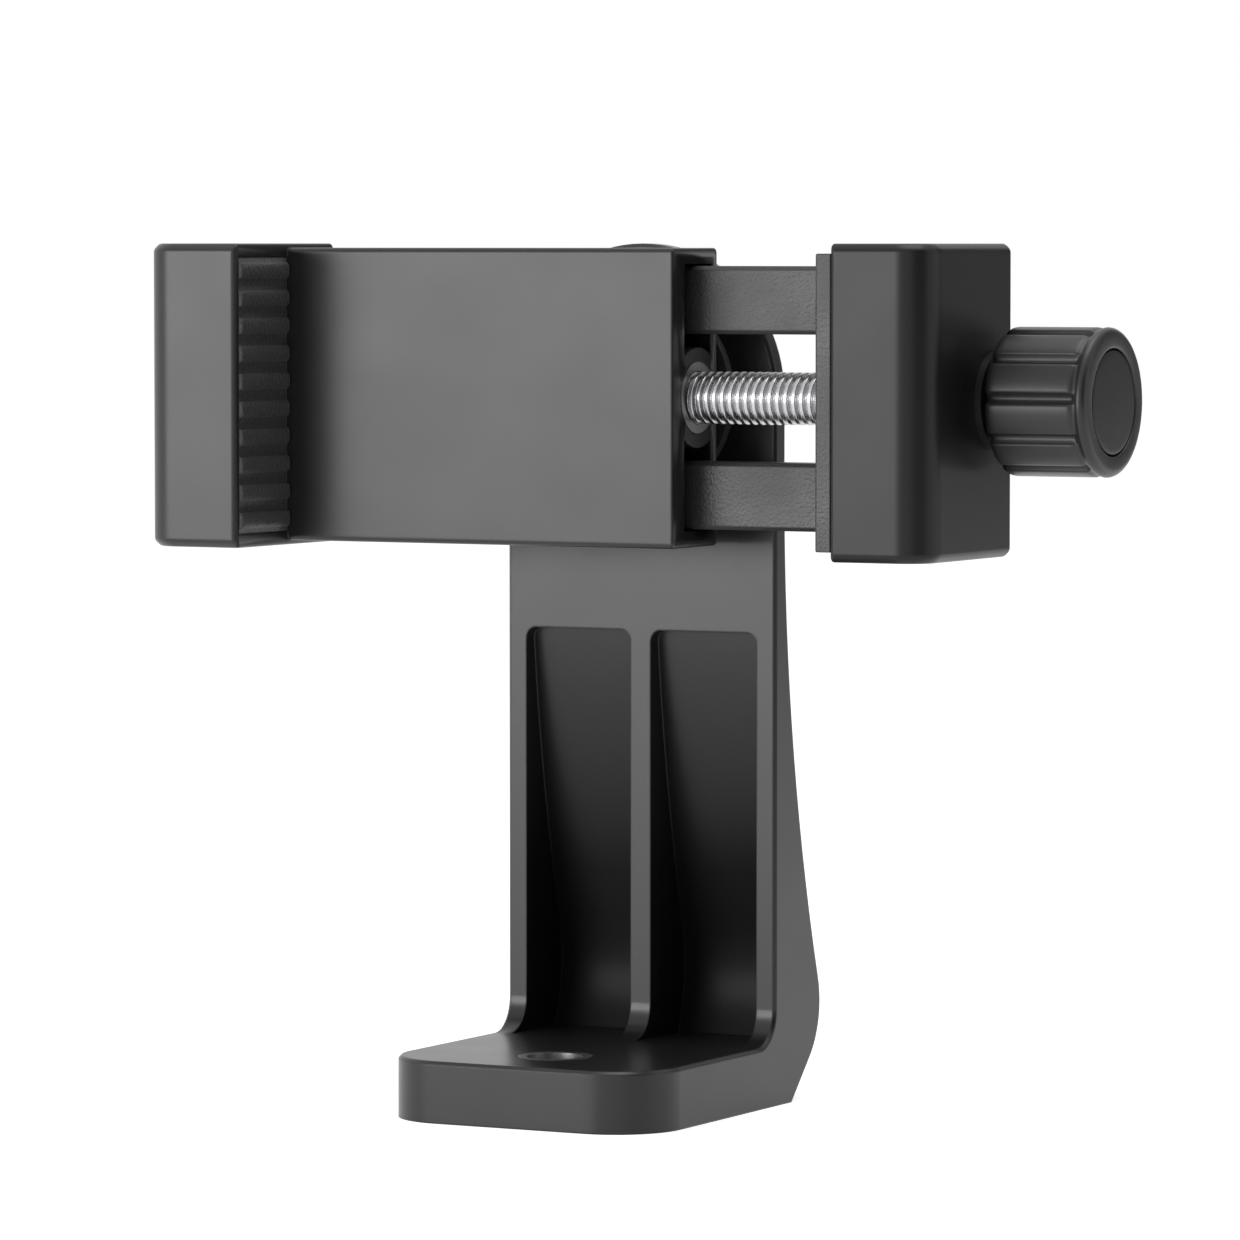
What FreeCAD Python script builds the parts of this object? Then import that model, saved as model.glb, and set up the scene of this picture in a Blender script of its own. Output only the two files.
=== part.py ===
"""Phone mount adapter for a tripod: an upright arm on a foot with a tripod thread, and a
screw clamp that turns on the arm's head and grips a phone between two padded jaws.

Millimetres, Z up. The origin is the centre of the tripod thread, at the foot's underside.
X points the way the moving jaw opens, and Y from the phone's side of the arm to the rear.
The clamp's pieces are drawn from the pivot axis, where it crosses the arm's front face.
"""

import FreeCAD, Part
import math
import os
import Sketcher
from types import SimpleNamespace

Vector = FreeCAD.Vector
# a sketch names the ends and the centre of a curve, and its own two axes, by these numbers
START, END, CENTRE = range(1, 4)
ACROSS_AXIS, UP_AXIS = range(-1, -3, -1)

doc = FreeCAD.newDocument("phone_mount")
sheet = doc.addObject("Spreadsheet::Sheet", "Sizes")


class Size:
    """A length that keeps its number together with the sheet formula that gives it."""

    def __init__(self, value, formula):
        self.value = float(value)
        self.formula = formula

    def __add__(self, other):
        other = as_size(other)
        return Size(self.value + other.value, f"({self.formula} + {other.formula})")

    def __sub__(self, other):
        other = as_size(other)
        return Size(self.value - other.value, f"({self.formula} - {other.formula})")

    def __mul__(self, other):
        other = as_size(other)
        return Size(self.value * other.value, f"({self.formula} * {other.formula})")

    def __truediv__(self, other):
        other = as_size(other)
        return Size(self.value / other.value, f"({self.formula} / {other.formula})")

    def __neg__(self):
        return Size(-self.value, f"(0 - {self.formula})")


def as_size(number):
    return number if isinstance(number, Size) else Size(number, f"{number:.10g}")


ZERO = Size(0, "0")
ROOT_OF_3 = 3 ** 0.5

# The driving dimensions, in millimetres
SIZES = {
    # the arm and its foot
    "arm_width": 35.0,
    "pivot_height": 81.65,
    "arm_face": 21.0,
    "plate_thickness": 2.2,
    "bend_drop": 10.5,
    "back_radius": 188.0,
    "heel_top": 13.9,
    "heel_radius": 9.0,
    "heel_reach": 4.2,
    "foot_thickness": 7.05,
    "foot_front": 11.0,
    "foot_corner": 8.0,
    "inner_corner": 4.0,
    "pocket_drop": 27.2,
    "pocket_width": 13.75,
    "middle_rib": 2.6,
    "pocket_skin": 1.2,
    "pocket_turn_top": 20.5,
    "pocket_turn_radius": 20.0,
    "pocket_corner": 1.3,
    "arm_edge": 0.35,
    "head_boss_radius": 10.0,
    "head_boss_height": 1.8,
    # the threaded insert in the foot
    "tripod_thread": 6.35,
    "insert_diameter": 8.6,
    # the pivot between the arm and the clamp
    "bolt_diameter": 6.0,
    "bolt_head_flats": 10.0,
    "bolt_head_height": 2.2,
    "bolt_head_gap": 0.2,
    "bolt_reach": 15.0,
    "friction_radius": 12.2,
    "friction_thickness": 1.3,
    "clamp_boss_radius": 10.5,
    "clamp_boss_height": 2.7,
    "knob_washer_radius": 7.5,
    "knob_washer_thickness": 1.0,
    # the clamp's housing and fixed jaw
    "body_height": 34.0,
    "body_depth": 11.12,
    "body_end": 12.0,
    "front_wall": 2.9,
    "rear_wall": 1.52,
    "body_edge": 0.6,
    "jaw_inner": 38.44,
    "jaw_thickness": 12.66,
    "jaw_height": 35.0,
    "jaw_reach": 11.74,
    "jaw_corner": 4.0,
    "jaw_edge": 0.7,
    "jaw_bevel": 0.4,
    "jaw_wall": 1.8,
    "nut_length": 6.0,
    "nut_diameter": 8.16,
    "nut_boss_radius": 5.75,
    "guide_rib_width": 2.4,
    "guide_rib_setback": 4.6,
    # the moving jaw with its slider
    "slider_place": 35.4,
    "slider_thickness": 1.94,
    "slider_height": 32.8,
    "slider_inset": 0.36,
    "slider_edge": 0.4,
    "rail_height": 7.7,
    "rail_depth": 4.35,
    "rail_spacing": 22.2,
    "rail_length": 59.6,
    "rail_edge": 0.45,
    "rail_side_gap": 0.22,
    "cover_thickness": 11.8,
    "screw_boss_radius": 5.2,
    "screw_boss_gap": 3.2,
    "post_radius": 2.8,
    "post_spacing": 21.0,
    "post_setback": 7.6,
    "jaw_screw_diameter": 2.2,
    "jaw_screw_head": 4.2,
    "jaw_screw_head_height": 0.5,
    "jaw_screw_length": 8.0,
    # the ribbed rubber pads
    "pad_height": 31.8,
    "pad_margin": 0.75,
    "pad_base": 1.2,
    "pad_seat": 1.25,
    "moving_pad_height": 29.6,
    "moving_pad_margin": 1.3,
    "moving_pad_base": 0.7,
    "moving_pad_seat": 0.75,
    "rib_height": 0.55,
    "rib_width": 1.9,
    "rib_pitch": 3.2,
    "rib_count": 10,
    "moving_rib_count": 9,
    # the clamping screw and both knobs
    "screw_diameter": 6.0,
    "screw_tip": 18.0,
    "tip_chamfer": 0.8,
    "clip_thickness": 0.8,
    "clip_radius": 4.0,
    "clip_groove": 0.6,
    "clip_mouth": 3.8,
    "thrust_radius": 5.6,
    "thrust_thickness": 0.8,
    "knob_radius": 8.3,
    "knob_length": 12.2,
    "neck_radius": 4.4,
    "neck_length": 1.4,
    "rim_round": 1.1,
    "rim_band": 1.3,
    "groove_width": 0.9,
    "groove_depth": 0.6,
    "groove_count": 11,
    "cap_radius": 5.75,
    "cap_thickness": 1.0,
    "cap_floor": 1.4,
    "knob_nut_flats": 9.0,
    "knob_nut_height": 5.0,
    "knob_nut_start": 4.2,
    # the fits
    "seat_gap": 0.02,
    "running_gap": 0.05,
    "slide_gap": 0.15,
    "free_gap": 0.3,
}
# A tool of a cut runs this far past the face that it starts from
CUT_PAST = 1.0
# Two places closer than this are the same place
NEAR = 0.01

for row, (alias, number) in enumerate(SIZES.items(), start=1):
    sheet.set(f"A{row}", alias.replace("_", " "))
    sheet.set(f"B{row}", str(number))
    sheet.setAlias(f"B{row}", alias)
doc.recompute()
s = SimpleNamespace(**{alias: Size(number, f"Sizes.{alias}") for alias, number in SIZES.items()})


def bind(thing, name, size):
    thing.setExpression(name, size.formula)


def new_body(label, x=ZERO, y=ZERO, z=ZERO, axis="Z"):
    """A body whose own Z axis lies along the named axis of the mount, at x, y, z."""
    turn = {
        "X": FreeCAD.Rotation(Vector(0, 1, 0), 90),
        "Y": FreeCAD.Rotation(Vector(1, 0, 0), -90),
        "Z": FreeCAD.Rotation(),
    }
    body = doc.addObject("PartDesign::Body", label)
    body.Label = label
    body.Placement = FreeCAD.Placement(Vector(x.value, y.value, z.value), turn[axis])
    for letter, size in (("x", x), ("y", y), ("z", z)):
        bind(body, f"Placement.Base.{letter}", size)
    return body


def clamp_body_at_pivot(label, x=ZERO, y=ZERO, z=ZERO, axis="Z"):
    """A body placed from the pivot, where it crosses the arm's front face."""
    return new_body(label, x, s.arm_face + y, s.pivot_height + z, axis)


def origin_item(body, role):
    return [item for item in body.Origin.OriginFeatures if item.Role == role][0]


def new_sketch(body, name, plane, offset=ZERO):
    """A sketch on an origin plane of its body, moved along that plane's normal."""
    sketch = body.newObject("Sketcher::SketchObject", name)
    sketch.AttachmentSupport = [(origin_item(body, plane), "")]
    sketch.MapMode = "FlatFace"
    bind(sketch, "AttachmentOffset.Base.z", offset)
    return sketch


def pin(sketch, geometry, vertex, across=None, up=None):
    """Hold a point of a sketch at its distances from the sketch's origin."""
    for kind, size, axis in (("DistanceX", across, UP_AXIS), ("DistanceY", up, ACROSS_AXIS)):
        if size is None:
            continue
        if size.value == 0:
            sketch.addConstraint(Sketcher.Constraint("PointOnObject", geometry, vertex, axis))
            continue
        rule = Sketcher.Constraint(kind, ACROSS_AXIS, START, geometry, vertex, size.value)
        bind(sketch, f"Constraints[{sketch.addConstraint(rule)}]", size)


def radius_of(sketch, geometry, radius):
    rule = Sketcher.Constraint("Radius", geometry, radius.value)
    bind(sketch, f"Constraints[{sketch.addConstraint(rule)}]", radius)


def line(sketch, start, end):
    """A line between two points, each given as numbers."""
    return sketch.addGeometry(Part.LineSegment(Vector(*start), Vector(*end)), False)


def arc(sketch, centre, radius, start, end):
    """An arc that runs counterclockwise from start to end, each given as numbers."""
    middle = Vector(*centre)
    flat = Vector(1, 0, 0)
    turns = []
    for point in (start, end):
        spoke = Vector(*point) - middle
        turns.append(spoke.getAngle(flat) * (1 if spoke.y >= 0 else -1))
    circle_line = Part.Circle(middle, Vector(0, 0, 1), radius)
    return sketch.addGeometry(Part.ArcOfCircle(circle_line, turns[0], turns[1]), False)


def join(sketch, first, first_end, second, second_end, kind="Coincident"):
    rule = Sketcher.Constraint(kind, first, first_end, second, second_end)
    sketch.addConstraint(rule)


def polygon(sketch, corners):
    """A closed outline with each corner held from the sketch's origin."""
    count = len(corners)
    sides = []
    for index, (across, up) in enumerate(corners):
        next_across, next_up = corners[(index + 1) % count]
        side = line(sketch, (across.value, up.value), (next_across.value, next_up.value))
        sides.append(side)
    for index, side in enumerate(sides):
        join(sketch, side, END, sides[(index + 1) % count], START)
    for side, (across, up) in zip(sides, corners):
        pin(sketch, side, START, across, up)


def rectangle(sketch, across, up):
    low_x, high_x = across
    low_y, high_y = up
    polygon(sketch, [(low_x, low_y), (high_x, low_y), (high_x, high_y), (low_x, high_y)])


def hexagon(sketch, flats):
    """A hexagon about the sketch's origin, with two corners on the sketch's X axis."""
    corner = flats / ROOT_OF_3
    half = corner / 2
    rise = flats / 2
    outline = [(corner, ZERO), (half, rise), (-half, rise)]
    outline += [(-corner, ZERO), (-half, -rise), (half, -rise)]
    polygon(sketch, outline)


def circle(sketch, across, up, radius):
    round_line = Part.Circle(Vector(across.value, up.value), Vector(0, 0, 1), radius.value)
    item = sketch.addGeometry(round_line, False)
    pin(sketch, item, CENTRE, across, up)
    radius_of(sketch, item, radius)


def pad(body, name, sketch, length, forward=True):
    """Material from the sketch, forward along the sketch's normal or backward."""
    feature = body.newObject("PartDesign::Pad", name)
    feature.Profile = sketch
    feature.Reversed = not forward
    bind(feature, "Length", length)
    doc.recompute()
    return feature


def cut(body, name, sketch, length, forward=False):
    """A pocket from the sketch, forward along the sketch's normal or backward."""
    before = body.Tip.Shape.Volume
    feature = body.newObject("PartDesign::Pocket", name)
    feature.Profile = sketch
    feature.Reversed = forward
    bind(feature, "Length", length)
    doc.recompute()
    if feature.Shape.Volume >= before:
        raise ValueError(f"{body.Label}: {name} cuts nothing")
    return feature


def block(body, name, across, along, up):
    """A rectangular lump between two values of X, of Y and of Z."""
    sketch = new_sketch(body, f"{name}_outline", "XY_Plane", up[0])
    rectangle(sketch, across, along)
    return pad(body, name, sketch, up[1] - up[0])


def hollow(body, name, across, along, up):
    """A rectangular cut between two values of X, of Y and of Z."""
    sketch = new_sketch(body, f"{name}_outline", "XY_Plane", up[0])
    rectangle(sketch, across, along)
    return cut(body, name, sketch, up[1] - up[0], forward=True)


def both_sides(size):
    """The span of a length centred on zero."""
    return (-(size / 2), size / 2)


def mirrored(body, name, feature, plane):
    copy = body.newObject("PartDesign::Mirrored", name)
    copy.Originals = [feature]
    copy.MirrorPlane = (origin_item(body, plane), [""])
    body.Tip = copy
    doc.recompute()
    return copy


def in_a_row(body, name, feature, axis, length, count):
    row_of = body.newObject("PartDesign::LinearPattern", name)
    row_of.Originals = [feature]
    row_of.Direction = (origin_item(body, axis), [""])
    bind(row_of, "Length", length)
    bind(row_of, "Occurrences", count)
    body.Tip = row_of
    doc.recompute()
    return row_of


def around(body, name, feature, count):
    """Copies of a feature, spread evenly around the body's own Z axis."""
    ring_of = body.newObject("PartDesign::PolarPattern", name)
    ring_of.Originals = [feature]
    ring_of.Axis = (origin_item(body, "Z_Axis"), [""])
    ring_of.Angle = 360
    bind(ring_of, "Occurrences", count)
    body.Tip = ring_of
    doc.recompute()
    return ring_of


def lies(edge, x=None, y=None, z=None):
    """Whether an edge keeps to the given values of X, Y and Z along its whole length."""
    box = edge.BoundBox
    spans = ((x, box.XMin, box.XMax), (y, box.YMin, box.YMax), (z, box.ZMin, box.ZMax))
    return all(
        size is None or (abs(low - size.value) < NEAR and abs(high - size.value) < NEAR)
        for size, low, high in spans
    )


def round_edges(body, name, radius, wanted, kind="Fillet"):
    """Round or bevel the edges of a body for which wanted says yes."""
    last = body.Tip
    edges = [f"Edge{i}" for i, edge in enumerate(last.Shape.Edges, start=1) if wanted(edge)]
    if not edges:
        raise ValueError(f"{body.Label}: {name} finds no edge")
    feature = body.newObject(f"PartDesign::{kind}", name)
    feature.Base = (last, edges)
    bind(feature, "Radius" if kind == "Fillet" else "Size", radius)
    doc.recompute()
    if {"Invalid", "Error"} & set(feature.State):
        raise ValueError(f"{body.Label}: {name} fails on {edges}")
    return feature


def turned(label, profile, place, axis):
    """A round piece: corners of half its section, as radius and height, spun about its axis."""
    body = clamp_body_at_pivot(label, *place, axis) if axis != "Z" else new_body(label, *place)
    sketch = new_sketch(body, "half_section", "XZ_Plane")
    polygon(sketch, profile)
    spin = body.newObject("PartDesign::Revolution", "spin")
    spin.Profile = sketch
    spin.ReferenceAxis = (origin_item(body, "Z_Axis"), [""])
    spin.Angle = 360
    doc.recompute()
    return body


def ring(label, outer, inner, length, place, axis):
    profile = [(inner, ZERO), (outer, ZERO), (outer, length), (inner, length)]
    return turned(label, profile, place, axis)


# Where the pieces meet, worked out from the driving dimensions

arm_half = s.arm_width / 2
head_top = s.pivot_height + arm_half
arm_back = s.arm_face + s.plate_thickness
bend_start = s.pivot_height - s.bend_drop
insert_radius = s.insert_diameter / 2

# distances behind the arm's front face, for the pieces on the pivot
washer_front = -s.friction_thickness
clamp_rear = washer_front - s.clamp_boss_height
clamp_front = clamp_rear - s.body_depth
jaw_front = clamp_front - s.jaw_reach
cavity_rear = clamp_rear - s.rear_wall
cavity_front = clamp_front + s.front_wall
screw_axis = (cavity_rear + cavity_front) / 2
head_rear = s.plate_thickness + s.head_boss_height
bolt_radius = s.bolt_diameter / 2

# distances from the pivot along the clamp
jaw_outer = -(s.jaw_inner + s.jaw_thickness)
cavity_end = jaw_outer + s.jaw_wall
slider_right = s.slider_place + s.slider_thickness
cover_right = slider_right + s.cover_thickness
screw_radius = s.screw_diameter / 2
rail_outer = s.rail_spacing / 2 + s.rail_height / 2
cavity_half = rail_outer + s.rail_side_gap
rail_rear = cavity_rear - s.slide_gap
rail_front = rail_rear - s.rail_depth
boss_left = slider_right + s.screw_boss_gap
boss_right = cover_right - s.jaw_wall / 2
knob_start = cover_right + s.thrust_thickness + s.running_gap


def side_profile(sketch):
    """The arm and foot seen from the side: a straight head, a back that sweeps rearward
    in one long arc, a rounded heel and a slope down to the foot's rear edge."""
    top, back = s.pivot_height.value, arm_back.value
    bend, heel_top = bend_start.value, s.heel_top.value
    face, foot_top = s.arm_face.value, s.foot_thickness.value
    front, heel = -s.foot_front.value, (s.arm_face + s.heel_reach).value
    sweep = (back + s.back_radius.value, bend)
    drop = bend - heel_top
    turn_y = sweep[0] - (s.back_radius.value ** 2 - drop ** 2) ** 0.5
    share = s.heel_radius.value / s.back_radius.value
    heel_centre = (turn_y + (turn_y - sweep[0]) * share, heel_top + (heel_top - bend) * share)
    reach = Vector(heel - heel_centre[0], -heel_centre[1])
    along = s.heel_radius.value ** 2 / reach.Length
    off = (s.heel_radius.value ** 2 - along ** 2) ** 0.5
    unit = Vector(reach.x / reach.Length, reach.y / reach.Length)
    heel_low = (
        heel_centre[0] + unit.x * along - unit.y * off,
        heel_centre[1] + unit.y * along + unit.x * off,
    )
    front_face = line(sketch, (face, top), (face, foot_top))
    foot_upper = line(sketch, (face, foot_top), (front, foot_top))
    foot_end = line(sketch, (front, foot_top), (front, 0))
    underside = line(sketch, (front, 0), (heel, 0))
    slope = line(sketch, (heel, 0), heel_low)
    heel_arc = arc(sketch, heel_centre, s.heel_radius.value, heel_low, (turn_y, heel_top))
    back_arc = arc_on_the_left(sketch, sweep, s.back_radius.value, (back, bend), (turn_y, heel_top))
    back_face = line(sketch, (back, bend), (back, top))
    head_edge = line(sketch, (back, top), (face, top))
    join(sketch, front_face, END, foot_upper, START)
    join(sketch, foot_upper, END, foot_end, START)
    join(sketch, foot_end, END, underside, START)
    join(sketch, underside, END, slope, START)
    join(sketch, slope, END, heel_arc, START, "Tangent")
    join(sketch, heel_arc, END, back_arc, END, "Tangent")
    join(sketch, back_arc, START, back_face, START)
    join(sketch, back_face, END, head_edge, START)
    join(sketch, head_edge, END, front_face, START)
    pin(sketch, front_face, START, s.arm_face, s.pivot_height)
    pin(sketch, foot_upper, START, s.arm_face, s.foot_thickness)
    pin(sketch, foot_end, START, -s.foot_front, s.foot_thickness)
    pin(sketch, underside, START, -s.foot_front, ZERO)
    pin(sketch, slope, START, s.arm_face + s.heel_reach, ZERO)
    pin(sketch, back_arc, CENTRE, arm_back + s.back_radius, bend_start)
    pin(sketch, back_face, START, arm_back, bend_start)
    pin(sketch, head_edge, START, arm_back, s.pivot_height)
    pin(sketch, back_arc, END, None, s.heel_top)
    radius_of(sketch, heel_arc, s.heel_radius)


def arc_on_the_left(sketch, centre, radius, upper, lower):
    """An arc on the left side of its circle, drawn from its upper end to its lower end."""
    middle = Vector(*centre)
    left = Vector(-1, 0, 0)
    turns = []
    for point in (upper, lower):
        spoke = Vector(*point) - middle
        turns.append(math.pi + spoke.getAngle(left) * (1 if spoke.y <= 0 else -1))
    circle_line = Part.Circle(middle, Vector(0, 0, 1), radius)
    return sketch.addGeometry(Part.ArcOfCircle(circle_line, turns[0], turns[1]), False)


def pocket_profile(sketch):
    """One lightening pocket seen from the side: its floor keeps a skin of even thickness
    to the swept back, then turns forward again in a shorter arc down to the foot."""
    top = s.pivot_height - s.pocket_drop
    front = s.arm_face - s.inner_corner - CUT_PAST
    centre = (arm_back.value + s.back_radius.value, bend_start.value)
    radius = s.back_radius + s.pocket_skin
    turn_radius = s.pocket_turn_radius.value
    upper_y = centre[0] - (radius.value ** 2 - (centre[1] - top.value) ** 2) ** 0.5
    turn_z = s.pocket_turn_top.value
    turn_y = centre[0] - (radius.value ** 2 - (centre[1] - turn_z) ** 2) ** 0.5
    share = turn_radius / radius.value
    turn_centre = (turn_y + (turn_y - centre[0]) * share, turn_z + (turn_z - centre[1]) * share)
    foot_top = s.foot_thickness.value
    lower_y = turn_centre[0] + (turn_radius ** 2 - (turn_centre[1] - foot_top) ** 2) ** 0.5
    upper_side = line(sketch, (front.value, top.value), (upper_y, top.value))
    swept_floor = arc_on_the_left(
        sketch, centre, radius.value, (upper_y, top.value), (turn_y, turn_z)
    )
    turned_floor = arc(sketch, turn_centre, turn_radius, (lower_y, foot_top), (turn_y, turn_z))
    lower_side = line(sketch, (lower_y, foot_top), (front.value, foot_top))
    open_side = line(sketch, (front.value, foot_top), (front.value, top.value))
    join(sketch, upper_side, END, swept_floor, START)
    join(sketch, swept_floor, END, turned_floor, END, "Tangent")
    join(sketch, turned_floor, START, lower_side, START)
    join(sketch, lower_side, END, open_side, START)
    join(sketch, open_side, END, upper_side, START)
    pin(sketch, upper_side, START, front, top)
    pin(sketch, swept_floor, CENTRE, arm_back + s.back_radius, bend_start)
    pin(sketch, swept_floor, START, None, top)
    pin(sketch, swept_floor, END, None, s.pocket_turn_top)
    pin(sketch, turned_floor, START, None, s.foot_thickness)
    pin(sketch, lower_side, END, front, s.foot_thickness)
    radius_of(sketch, swept_floor, radius)
    radius_of(sketch, turned_floor, s.pocket_turn_radius)


def make_bracket_arm():
    body = new_body("bracket_arm")
    sketch = new_sketch(body, "side_profile", "YZ_Plane", -arm_half)
    side_profile(sketch)
    pad(body, "arm_and_foot", sketch, s.arm_width)

    # the head is a disc about the pivot, as wide as the arm
    sketch = new_sketch(body, "head_outline", "XZ_Plane", -s.arm_face)
    circle(sketch, ZERO, s.pivot_height, arm_half)
    pad(body, "head", sketch, s.plate_thickness, forward=False)
    round_edges(
        body,
        "foot_corners",
        s.foot_corner,
        lambda edge: lies(edge, y=-s.foot_front, x=arm_half)
        or lies(edge, y=-s.foot_front, x=-arm_half),
    )
    round_edges(
        body,
        "inner_corner",
        s.inner_corner,
        lambda edge: lies(edge, y=s.arm_face, z=s.foot_thickness),
    )

    # two pockets leave a middle rib and two outer ribs
    sketch = new_sketch(body, "pocket_profile", "YZ_Plane", s.middle_rib / 2)
    pocket_profile(sketch)
    pocket = cut(body, "pocket", sketch, s.pocket_width, forward=True)
    mirrored(body, "other_pocket", pocket, "YZ_Plane")
    pocket_top = s.pivot_height - s.pocket_drop
    near_side = s.middle_rib / 2
    far_side = near_side + s.pocket_width
    round_edges(
        body,
        "pocket_corners",
        s.pocket_corner,
        lambda edge: any(
            lies(edge, x=side, z=pocket_top)
            for side in (near_side, -near_side, far_side, -far_side)
        ),
    )

    round_edges(
        body,
        "outline_edges",
        s.arm_edge,
        lambda edge: lies(edge, x=arm_half, y=s.arm_face)
        or lies(edge, x=-arm_half, y=s.arm_face)
        or (lies(edge, y=s.arm_face) and abs(edge.BoundBox.ZMax - head_top.value) < NEAR),
        "Chamfer",
    )

    # the rear boss that the pivot knob's washer bears on
    sketch = new_sketch(body, "boss_outline", "XZ_Plane", -arm_back)
    circle(sketch, ZERO, s.pivot_height, s.head_boss_radius)
    pad(body, "rear_boss", sketch, s.head_boss_height, forward=False)
    sketch = new_sketch(body, "pivot_bore_outline", "XZ_Plane", -s.arm_face)
    circle(sketch, ZERO, s.pivot_height, bolt_radius + s.running_gap)
    cut(body, "pivot_bore", sketch, head_rear + CUT_PAST)
    sketch = new_sketch(body, "insert_seat_outline", "XY_Plane")
    circle(sketch, ZERO, ZERO, insert_radius + s.seat_gap)
    cut(body, "insert_seat", sketch, s.foot_thickness + CUT_PAST, forward=True)

    return body


def make_pivot_pieces():
    """What turns or clamps on the pivot, from the clamp's rear wall to the rear knob."""
    place = (ZERO, washer_front, ZERO)
    ring(
        "friction_washer",
        s.friction_radius,
        bolt_radius + s.running_gap,
        s.friction_thickness,
        place,
        "Y",
    )
    body = clamp_body_at_pivot("pivot_bolt", ZERO, cavity_rear + s.bolt_head_gap, ZERO, "Y")
    sketch = new_sketch(body, "head_outline", "XY_Plane")
    hexagon(sketch, s.bolt_head_flats)
    pad(body, "head", sketch, s.bolt_head_height)
    sketch = new_sketch(body, "shank_outline", "XY_Plane")
    circle(sketch, ZERO, ZERO, bolt_radius)
    shank = s.bolt_reach - cavity_rear
    pad(body, "shank", sketch, shank)
    round_edges(body, "shank_tip", s.tip_chamfer, lambda edge: lies(edge, z=shank), "Chamfer")

    place = (ZERO, head_rear, ZERO)
    ring(
        "pivot_washer",
        s.knob_washer_radius,
        bolt_radius + s.running_gap,
        s.knob_washer_thickness,
        place,
        "Y",
    )


def front_bevel(body, inner, inward):
    """Bevel the front edge of a jaw's inner rim at X = inner. The jaw's material lies
    along +X from there if inward is 1, and along -X if it is -1."""
    outside = inner - CUT_PAST * inward
    forward = jaw_front - CUT_PAST
    sketch = new_sketch(body, "front_bevel_outline", "XY_Plane", -(s.jaw_height / 2))
    corners = [
        (outside, forward),
        (inner + (s.jaw_bevel + CUT_PAST) * inward, forward),
        (outside, jaw_front + s.jaw_bevel + CUT_PAST),
    ]
    polygon(sketch, corners)
    cut(body, "front_bevel", sketch, s.jaw_height, forward=True)


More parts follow.
